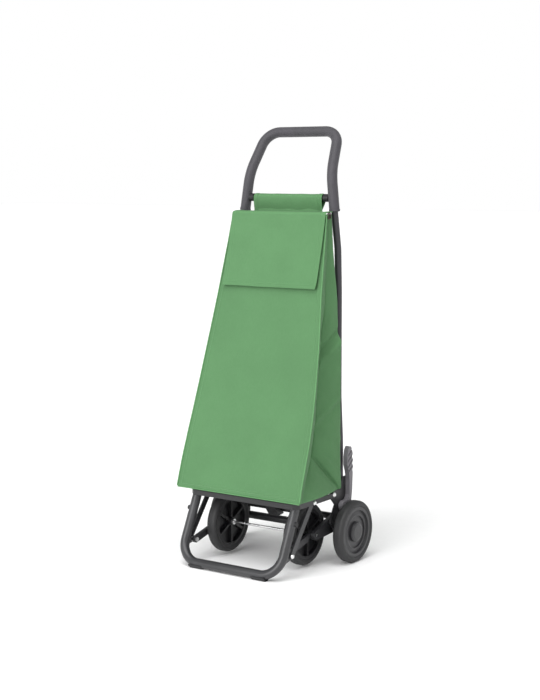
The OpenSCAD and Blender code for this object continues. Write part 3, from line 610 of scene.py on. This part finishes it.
def side_of_bag(sign, seed):
    """Rings of one half of the bag, from the middle of the front to the middle of the back."""
    z = levels[:, None]
    xf, yf = front_edge(z)
    xr, yr = rear_edge(z)
    # front half, from the middle out to the edge
    inner = np.linspace(0, 1, FRONT_IN, endpoint=False)[None, :]
    s_in = lerp(xf, 14.5, inner)
    s = np.concatenate([s_in, np.broadcast_to(near[::-1][None, :], (len(levels), len(near)))], 1)
    x = xf - s
    d = front_bulge(sign * x, z, 11) * np.ones_like(x) + seam_relief(s)
    hem = 0.8 * (1 - smooth((z - 193.2) / 0.9)) - 0.35 * np.exp(-(((z - 190) / 0.6) ** 2))
    d = d + hem * (s > SEAM)
    pinch = np.exp(-((s / 2.2) ** 2))
    y = yf + np.zeros_like(x)
    front = np.stack([
        sign * (x + 1.3 * pinch),
        y + OUT[1] * (d + 0.9 * pinch),
        z + OUT[2] * d + np.zeros_like(x),
    ], 2)
    front_cloth = np.stack([sign * x, z / UP[2] + np.zeros_like(x), np.zeros_like(x)], 2)
    # gusset
    share = np.clip((z - FOOT_Z) / (APEX_Z - FOOT_Z), 0, 1)
    depth = np.interp(z, VALLEY_Z, VALLEY_DEPTH)
    slot = np.interp(z, SLOT_Z, SLOT_DEPTH)
    depth = depth + 1.5 * waves(z, z * 0, seed + 3, 170)
    base_f = np.stack([xf, yf, z], 2)[:, 0]
    base_r = np.stack([xr, yr, z], 2)[:, 0]
    valley = base_f * 0.5 + base_r * 0.5 - depth * [1, 0, 0]
    at_apex = np.array([np.interp(APEX_Z, levels, valley[:, k]) for k in range(3)])
    foot_f = np.array([front_edge(FOOT_Z)[0] - 0.8, front_edge(FOOT_Z)[1] + 7, FOOT_Z])
    foot_r = np.array([rear_edge(FOOT_Z)[0], rear_edge(FOOT_Z)[1] - 9, FOOT_Z])
    low = share < 1
    c1 = np.where(low, foot_f + (at_apex - foot_f) * share, valley - [0, SLOT_HALF, 0])
    c2 = np.where(low, foot_r + (at_apex - foot_r) * share, valley + [0, SLOT_HALF, 0])
    near_apex = np.clip((z - APEX_Z + 16) / 16, 0, 1) * low
    c1 = c1 - near_apex * [0, SLOT_HALF, 0]
    c2 = c2 + near_apex * [0, SLOT_HALF, 0]
    a = (np.arange(1, A_COUNT + 1) / A_COUNT) ** 1.25
    b = np.arange(1, B_COUNT) / B_COUNT
    tt = np.arange(1, T_COUNT + 1) / T_COUNT
    part_a = base_f[:, None] + (c1 - base_f)[:, None] * a[None, :, None]
    part_t = c1[:, None] + (c2 - c1)[:, None] * tt[None, :, None]
    part_b = c2[:, None] + (base_r - c2)[:, None] * b[None, :, None]
    gusset = np.concatenate([part_a, part_t, part_b], 1)
    chord = base_r - base_f
    run = np.linalg.norm(chord[:, :2], axis=1)[:, None]
    nx, ny = chord[:, 1:2] / run, -chord[:, 0:1] / run
    width_a = np.linalg.norm(c1 - base_f, axis=1)[:, None]
    width_b = np.linalg.norm(base_r - c2, axis=1)[:, None]
    bulge_a = 0.045 * width_a * np.sin(math.pi * a)[None, :] + 1.6 * np.exp(-(((1 - a) / 0.07) ** 2))[None, :]
    groove = 1.5 + 7 * share ** 2
    bulge_a = bulge_a - low * groove * np.exp(-(((1 - a) / 0.06) ** 2))[None, :]
    width_t = np.linalg.norm(c2 - c1, axis=1)[:, None]
    panel_t = 0.045 * width_t * np.sin(math.pi * tt)[None, :] - groove * np.exp(-((tt / 0.10) ** 2))[None, :]
    bulge_t = np.where(low, panel_t, -slot * np.sin(math.pi * tt)[None, :])
    over = (1 - np.exp(-b / 0.07))[None, :] * (1 - b[None, :]) ** 0.8
    overhang = np.interp(z, [181, 200, 250, APEX_Z, 330, 430], [1.5, 5.0, 6.5, 5.0, 1.5, 0])
    bulge_b = 0.05 * width_b * np.sin(math.pi * b)[None, :] + overhang * over
    bulge = np.concatenate([bulge_a, bulge_t, bulge_b], 1)
    crease = A_COUNT + T_COUNT - 1
    crease_depth = low[:, 0] * np.interp(z[:, 0], [181, 195, 240, APEX_Z], [0.5, 3.0, 4.0, 2.0])
    bulge[:, crease] -= crease_depth
    bulge[:, crease - 1] -= 0.35 * crease_depth
    gy = gusset[:, :, 1]
    gz = gusset[:, :, 2]

    def yz(w, height):
        return (float(lerp(front_edge(height)[1], rear_edge(height)[1], w)), height)

    on_b = np.zeros(gusset.shape[1])
    on_b[A_COUNT + T_COUNT - 1:] = 1
    on_a = np.zeros(gusset.shape[1])
    on_a[:A_COUNT] = 1
    rel = (
        ridge(gy, gz, yz(1.02, 560), yz(0.30, 482), 8, -9.5)
        + ridge(gy, gz, yz(1.02, 543), yz(0.34, 464), 9, 4.0)
        + ridge(gy, gz, yz(0.93, 402), yz(0.42, 338), 6, 3.0)
        + ridge(gy, gz, yz(0.96, 386), yz(0.46, 322), 7, -2.4)
        + ridge(gy, gz, yz(1.0, 300), yz(0.62, 318), 9, 1.6)
        + ridge(gy, gz, yz(0.98, 226), yz(0.64, 276), 6, -1.6)
        + ridge(gy, gz, yz(0.72, 815), yz(0.9, 640), 9, 2.4)
        + ridge(gy, gz, yz(0.95, 640), yz(0.62, 560), 13, 2.4)
        + ridge(gy, gz, yz(0.9, 470), yz(0.6, 420), 14, 1.5)
    )
    fade_ends = np.clip(np.minimum(gy - yf, yr - gy) / 14, 0, 1)
    soft = (0.9 * waves(gy, gz, seed, 90) + 0.5 * waves(gy, gz, seed + 1, 42)) * fade_ends
    bulge = bulge + rel * np.maximum(on_b, 0.35 * on_a)[None, :]
    bulge = bulge + soft * np.maximum(np.maximum(on_b, 0.5 * on_a), 0.25)[None, :]
    gusset = gusset.copy()
    gusset[:, :, 0] += nx * bulge
    gusset[:, :, 1] += ny * bulge
    gusset[:, :, 0] *= sign
    seg = np.linalg.norm(np.diff(np.concatenate([base_f[:, None] * [sign, 1, 1], gusset], 1), axis=1), axis=2)
    along = np.cumsum(seg, 1)
    gusset_cloth = np.stack([sign * (xf + along), z + 0 * along, 0 * along], 2)
    # back half, from the edge in to the middle
    q = np.linspace(0, 1, BACK_COUNT)[None, :]
    x_back = xr * (1 - q)
    t = height_share(z)
    sag = 7.0 * np.sin(math.pi * np.clip(t, 0, 1)) ** 0.8 * (1 - (x_back / xr) ** 2)
    sag = sag * (1 - smooth((z - 700) / 100)) + 1.0 * smooth((z - 700) / 100)
    soft_b = 0.7 * waves(sign * x_back, z, 31, 120) + 0.3 * waves(sign * x_back, z, 32, 50)
    soft_b = soft_b * np.clip(q * 6, 0, 1)
    soft_b = soft_b * (1 - 0.7 * smooth((z - 700) / 100))
    back = np.stack([sign * x_back, yr + sag * np.clip(q * 4, 0, 1) + soft_b, z + 0 * x_back], 2)
    back_cloth = np.stack([sign * (xf + along[:, -1:] + (xr - x_back)), z + 0 * x_back, 0 * x_back], 2)
    ring = np.concatenate([front, gusset, back], 1)
    cloth = np.concatenate([front_cloth, gusset_cloth, back_cloth], 1)
    # round the rear corner by averaging along the ring
    corner = front.shape[1] + gusset.shape[1]
    for _ in range(3):
        lo_i, hi_i = corner - 3, corner + 3
        beside = ring[:, lo_i - 1:hi_i - 1] + ring[:, lo_i + 1:hi_i + 1]
        ring[:, lo_i:hi_i] = 0.5 * ring[:, lo_i:hi_i] + 0.25 * beside
    return ring, cloth, front.shape[1] - 1


right_ring, right_cloth, EDGE = side_of_bag(1, 51)
left_ring, left_cloth, _ = side_of_bag(-1, 71)
# whole loop, counter-clockwise from above: front middle, right side, back, left side
ring = np.concatenate([right_ring, left_ring[:, -2:0:-1]], 1)
cloth = np.concatenate([right_cloth, left_cloth[:, -2:0:-1]], 1)
columns = ring.shape[1]
middle = np.array([0, (Y_FRONT_LOW + Y_BACK_LOW) / 2, 0])
bottom_rows, bottom_cloth = [], []
TO_FLOOR = 183.5 - Z_LOW
for inset, drop in ((60, TO_FLOOR + 1.4), (9, TO_FLOOR + 1.5), (4.0, TO_FLOOR + 1.2), (1.5, 3.6), (0.4, 1.8)):
    low_ring = ring[0].copy()
    off = low_ring[:, :2] - middle[:2]
    size = np.linalg.norm(off, axis=1)[:, None]
    low_ring[:, :2] -= off / size * inset
    low_ring[:, 2] -= drop
    bottom_rows.append(low_ring)
    c = cloth[0].copy()
    c[:, 1] -= drop + inset
    bottom_cloth.append(c)
bag_points = np.concatenate([np.array(bottom_rows), ring], 0)
bag_cloth = np.concatenate([np.array(bottom_cloth), cloth], 0)
rows = bag_points.shape[0]
faces = grid_faces(rows, columns, wrap=True)
faces.append(tuple(reversed(range(columns))))
bag = make("bag_shell", world(bag_points), faces, [canvas], bag_cloth.reshape(-1, 3) / 1000)
thick = bag.modifiers.new("cloth", "SOLIDIFY")
thick.thickness = CLOTH / 1000
thick.offset = -1
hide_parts("bag_front", "bag_back", "bag_gusset_left", "bag_gusset_right", "bag_floor")
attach(bag, "rear_frame")
flatten(bag)

# welts along both front edges and the foot of the front panel
welt = Build()
edge_out = np.array([1.2, -1.2, 0.2])
for points, sign in ((right_ring, 1), (left_ring, -1)):
    line = points[:, EDGE] + edge_out * [sign, 1, 1] * 0.55
    v, f = tube(resample(line, 6), 1.55, 8)
    welt.add(v, f)
foot = np.concatenate([left_ring[0, :EDGE + 1][::-1], right_ring[0, 1:EDGE + 1]])
foot = foot + [0, -0.35, -2.6]
v, f = tube(resample(foot, 6), 1.3, 8)
welt.add(v, f)
piping = welt.object("bag_welts", [welt_canvas_highlit])
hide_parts("bag_piping")
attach(piping, "rear_frame")
flatten(piping)

# sewing on the bag
sew = Build()
for points in (right_ring, left_ring):
    stitches(sew, points[2:-2, EDGE - 6] + OUT * 0.1, OUT)
hem_row = int(np.argmin(np.abs(levels - 190.0)))
hem_line = np.concatenate([left_ring[hem_row, :EDGE - 8][::-1], right_ring[hem_row, 1:EDGE - 8]])
stitches(sew, hem_line + OUT * 0.1, OUT)
top_row = int(np.argmin(np.abs(levels - 816.8)))
back_half = slice(-BACK_COUNT + 2, None)
back_line = np.concatenate([right_ring[top_row, back_half], left_ring[top_row, back_half][:-1][::-1]])
stitches(sew, back_line + [0, 0.1, 0], [0, 1, 0])
bag_sewing = sew.object("bag_sewing", [thread])
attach(bag_sewing, "rear_frame")
flatten(bag_sewing)

# ---------------------------------------------------------------- lid
HINGE_Y, LID_Z = top_hi[1] + 2.5, top_hi[2] - 0.4
FLAP_TOP = np.array([0, top_lo[1] - 0.3, LID_Z])
LID_W = top_hi[0]
BEND = 5.0
flap_len = math.hypot(flap_hi[1] - flap_lo[1], flap_hi[2] - flap_lo[2]) - 1.6


def lid_profile(s):
    """Point, outward normal at distance s from the hinge, along the top and down the flap."""
    flat = HINGE_Y - FLAP_TOP[1] - BEND
    slope = math.acos(UP[1])
    turn = math.pi - slope
    arc = BEND * turn
    if s < flat:
        return np.array([0, HINGE_Y - s, LID_Z]), np.array([0, 0, 1.0])
    if s < flat + arc:
        a = (s - flat) / BEND
        centre = np.array([0, HINGE_Y - flat, LID_Z - BEND])
        n = np.array([0, -math.sin(a), math.cos(a)])
        return centre + BEND * n, n
    centre = np.array([0, HINGE_Y - flat, LID_Z - BEND])
    n = np.array([0, -math.sin(turn), math.cos(turn)])
    return centre + BEND * n - UP * (s - flat - arc), n


LID_LEN = HINGE_Y - FLAP_TOP[1] - BEND + BEND * (math.pi - math.acos(UP[1])) + flap_len - 4
hem_s = [0, 0.9, 2.0, 3.6, 5.4, 6.4, 7.0, 7.6, 8.8, 9.6, 10.6, 13]
# the hem is stitched this far in from its edge
STITCH_IN = 7.0
s_list = np.unique(np.concatenate([np.linspace(0, LID_LEN - 13, 60), LID_LEN - np.array(hem_s), [0, 1, 2.5]]))
x_list = np.unique(np.concatenate([
    np.linspace(-LID_W + 13, LID_W - 13, 62),
    -LID_W + np.array(hem_s), LID_W - np.array(hem_s),
]))


def hem_height(dist):
    raised = 0.8 * (1 - smooth((dist - 9.4) / 1.1))
    groove = -0.35 * np.exp(-(((dist - STITCH_IN) / 0.6) ** 2))
    roll = -0.7 * np.exp(-((dist / 0.9) ** 2))
    return raised + groove + roll


lid_points, lid_normals, lid_cloth = [], [], []
for s in s_list:
    p, n = lid_profile(s)
    flap_share = np.clip((s - 40) / (LID_LEN - 40), 0, 1)
    edge_side = LID_W - np.abs(x_list)
    edge_end = LID_LEN - s
    along = np.full_like(x_list, s)
    across = np.clip(1 - (x_list / LID_W) ** 2, 0, 1)
    under = front_bulge(x_list * 0.98, np.full_like(x_list, p[2]), 11) if s > 34 else 0 * x_list
    lift = under * 0.85 * smooth((s - 30) / 50) + 0.4
    lift = lift + 1.5 * across * math.sin(math.pi * min(1, max(0, (s - 30) / (LID_LEN - 30)))) ** 0.8
    lift = lift + 0.9 * flap_share ** 2 - 0.96 * set_back(p[2]) * smooth((s - 26) / 40)
    soft = 0.45 * waves(x_list, along, 91, 110) + 0.2 * waves(x_list, along, 92, 45)
    lift = lift + soft * smooth((s - 20) / 30)
    lift = lift + ridge(x_list, along, (-4, 62), (14, 74), 9, -0.8)
    lift = lift + ridge(x_list, along, (-110, 190), (-80, 120), 12, 0.7)
    lift = lift + ridge(x_list, along, (112, 195), (78, 140), 12, 0.7)
    corner = np.exp(-(((LID_W - np.abs(x_list)) / 26) ** 2)) * math.exp(-((edge_end / 26) ** 2))
    lift = lift + 1.8 * corner
    lift = lift + np.maximum(hem_height(edge_side), hem_height(np.full_like(x_list, edge_end)))
    shoulder = math.exp(-(((s - 30) / 9) ** 2))
    drop = 1.8 * shoulder * np.exp(-((edge_side / 7) ** 2))
    row = p[None, :] + n[None, :] * (lift - drop)[:, None] + np.stack([x_list, 0 * x_list, 0 * x_list], 1)
    # flap corners are cut with a small radius
    r = 7.0
    dx = np.clip(r - edge_side, 0, r)
    dz = max(0.0, r - edge_end)
    if dz > 0:
        reach = np.sqrt(np.clip(r * r - dz * dz, 0, None))
        over_x = np.clip(np.abs(x_list) - (LID_W - r + reach), 0, None)
        row[:, 0] -= np.sign(x_list) * over_x
    lid_points.append(row)
    lid_normals.append(np.tile(n, (len(x_list), 1)))
    lid_cloth.append(np.stack([x_list, along, 0 * x_list], 1))
lid_points = np.array(lid_points)
lid_normals = np.array(lid_normals)
faces = grid_faces(len(s_list), len(x_list))
lid = make("lid_cover", world(lid_points), faces, [canvas_lid], np.array(lid_cloth).reshape(-1, 3) / 1000)
thick = lid.modifiers.new("cloth", "SOLIDIFY")
thick.thickness = 0.0018
thick.offset = -1
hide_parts("lid_top", "lid_flap")
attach(lid, "lid")
flatten(lid)

sew = Build()
ix = int(np.argmin(np.abs(x_list - (LID_W - STITCH_IN))))
ix2 = int(np.argmin(np.abs(x_list + (LID_W - STITCH_IN))))
hem_i = int(np.argmin(np.abs(s_list - (LID_LEN - STITCH_IN))))
for i in (ix, ix2):
    normal = lid_normals[3:hem_i + 1, i]
    stitches(sew, lid_points[3:hem_i + 1, i] + normal * 0.1, normal)
normal = lid_normals[hem_i, ix2:ix + 1]
stitches(sew, lid_points[hem_i, ix2:ix + 1] + normal * 0.1, normal)
lid_sewing = sew.object("lid_sewing", [thread])
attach(lid_sewing, "lid")
flatten(lid_sewing)

# the clip at the lid's edge: a bent frame with a tongue across it
clip_lo, clip_hi = node_mm("lid_clip")
clip_mid = (clip_lo + clip_hi) / 2
CLIP_R = 1.45
reach_y = (clip_hi[1] - clip_lo[1]) / 2 - CLIP_R
reach_z = (clip_hi[2] - clip_lo[2]) / 2 - CLIP_R
loop = []
for k in range(40):
    a = 2 * math.pi * k / 40
    c, d = math.cos(a), math.sin(a)
    loop.append(clip_mid + [0, reach_y * abs(c) ** 0.4 * np.sign(c), reach_z * abs(d) ** 0.4 * np.sign(d)])
clip_build = Build()
clip_build.add(*tube(loop, CLIP_R, 8, closed=True))
tongue = [
    clip_mid + [0.2 * math.sin(math.pi * t), 0, lerp(-reach_z, reach_z, t)]
    for t in np.linspace(0, 1, 9)
]
clip_build.add(*tube(tongue, 1.1, 8))
clip = clip_build.object("edge_clip", [clip_plastic])
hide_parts("lid_clip")
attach(clip, "lid")
flatten(clip)

# ---------------------------------------------------------------- band over the crossbar
band_lo, band_hi = node_mm("bag_band")
BAND_W = band_hi[0]
bar_y, bar_z = (bar_lo[1] + bar_hi[1]) / 2, (bar_lo[2] + bar_hi[2]) / 2
bar_r = (bar_hi[2] - bar_lo[2]) / 2 + 1.3
profile = []
for k in range(9):
    t = k / 8
    profile.append((lerp(bar_y - 4.6, bar_y - bar_r, smooth(t)), lerp(838.4, bar_z - 4, t)))
for k in range(1, 16):
    a = math.pi * (1 - k / 16)
    profile.append((bar_y + bar_r * math.cos(a), bar_z + bar_r * math.sin(a)))
for k in range(9):
    t = k / 8
    profile.append((lerp(bar_y + bar_r, 244.2, smooth(t)), lerp(bar_z - 2, 838.0, t)))
for k in range(1, 6):
    profile.append((lerp(244.2, 242.8, k / 5), lerp(838.0, 821.0, k / 5)))
profile = resample([(0, y, z) for y, z in profile], 2.6)[:, 1:]
tangent = np.gradient(profile, axis=0)
tangent /= np.linalg.norm(tangent, axis=1)[:, None]
band_normal = np.stack([0 * tangent[:, 0], -tangent[:, 1], tangent[:, 0]], 1)
band_hem = BAND_W - np.array(hem_s[:-1])
bx = np.unique(np.concatenate([np.linspace(-BAND_W + 11, BAND_W - 11, 56), -band_hem, band_hem]))
band_points = []
arc_s = np.concatenate([[0], np.cumsum(np.linalg.norm(np.diff(profile, axis=0), axis=1))])
CREST_S = 52
for i, (y, z) in enumerate(profile):
    slack = 0.35 + 0.65 * min(1, abs(arc_s[i] - CREST_S) / 30)
    lift = 0.35 + 0.5 * waves(bx, np.full_like(bx, arc_s[i] * 0.4), 131, 46) * slack
    lift = lift + hem_height(BAND_W - np.abs(bx))
    row = np.stack([bx, np.full_like(bx, y), np.full_like(bx, z)], 1)
    band_points.append(row + band_normal[i] * lift[:, None])
band_points = np.array(band_points)
band_cloth = np.stack(np.meshgrid(bx, arc_s), 2)
band_cloth = np.concatenate([band_cloth, 0 * band_cloth[:, :, :1]], 2)
faces = [tuple(reversed(f)) for f in grid_faces(len(profile), len(bx))]
band = make("band_loop", world(band_points), faces, [canvas], band_cloth.reshape(-1, 3) / 1000)
thick = band.modifiers.new("cloth", "SOLIDIFY")
thick.thickness = 0.0013
thick.offset = -1
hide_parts("bag_band")
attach(band, "rear_frame")
sew = Build()
for edge_x in (BAND_W - STITCH_IN, STITCH_IN - BAND_W):
    i = int(np.argmin(np.abs(bx - edge_x)))
    stitches(sew, band_points[2:-2, i] + band_normal[2:-2] * 0.1, band_normal[2:-2])
FOOT_ROW = 5
stitches(sew, band_points[FOOT_ROW, 2:-2] + band_normal[FOOT_ROW] * 0.1, band_normal[FOOT_ROW])
band_sewing = sew.object("band_sewing", [thread])
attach(band_sewing, "rear_frame")

# ---------------------------------------------------------------- floor, lights, camera
size = 30.0
corners = [(-size, -size, 0), (size, -size, 0), (size, size, 0), (-size, size, 0)]
floor = make("floor", corners, [(0, 1, 2, 3)])
m = Nodes("floor_white")
grain = m.noise(m.coords(), 40, 3)
m.finish(
    m.blend(m.ramp(grain, 0.3, 0.7, 0, 1), (0.93, 0.93, 0.93), (0.95, 0.95, 0.95)),
    m.ramp(grain, 0.3, 0.7, 0.6, 0.7),
    Specular_IOR_Level=0.2,
)
floor.data.materials.append(m.mat)

# the studio is white to just above the horizon and dimmer overhead
sky = bpy.data.worlds.new("studio")
sky.use_nodes = True
tree = sky.node_tree
direction = tree.nodes.new("ShaderNodeTexCoord")
height = tree.nodes.new("ShaderNodeSeparateXYZ")
tree.links.new(direction.outputs["Generated"], height.inputs[0])
fall = tree.nodes.new("ShaderNodeMapRange")
fall.clamp = True
for i, value in enumerate((0.2, 0.45, 1.0, 0.34), 1):
    fall.inputs[i].default_value = value
tree.links.new(height.outputs["Z"], fall.inputs[0])
tree.links.new(fall.outputs[0], tree.nodes["Background"].inputs["Strength"])
tree.nodes["Background"].inputs["Color"].default_value = (1, 1, 1, 1)
bpy.context.scene.world = sky


def lamp(name, towards, strength, spread):
    """A broad, soft light from the direction given."""
    data = bpy.data.lights.new(name, "SUN")
    data.energy, data.angle = strength, math.radians(spread)
    obj = bpy.data.objects.new(name, data)
    obj.rotation_euler = Vector(towards).to_track_quat("Z", "Y").to_euler()
    bpy.context.scene.collection.objects.link(obj)


lamp("key", (0.12, -0.42, 0.9), 2.3, 50)
lamp("front", (-0.12, -0.93, 0.35), 1.9, 40)
lamp("side", (0.8, -0.1, 0.6), 0.35, 50)

cam_data = bpy.data.cameras.new("camera")
cam_data.lens = 73.806
cam_data.sensor_width = 36
cam = bpy.data.objects.new("camera", cam_data)
cam.location = (1.94152, -2.79147, 0.92625)
cam.rotation_euler = (math.radians(83.0433), math.radians(-0.0338), math.radians(34.7207))
bpy.context.scene.collection.objects.link(cam)
bpy.context.scene.camera = cam
bpy.context.scene.view_settings.view_transform = "Standard"
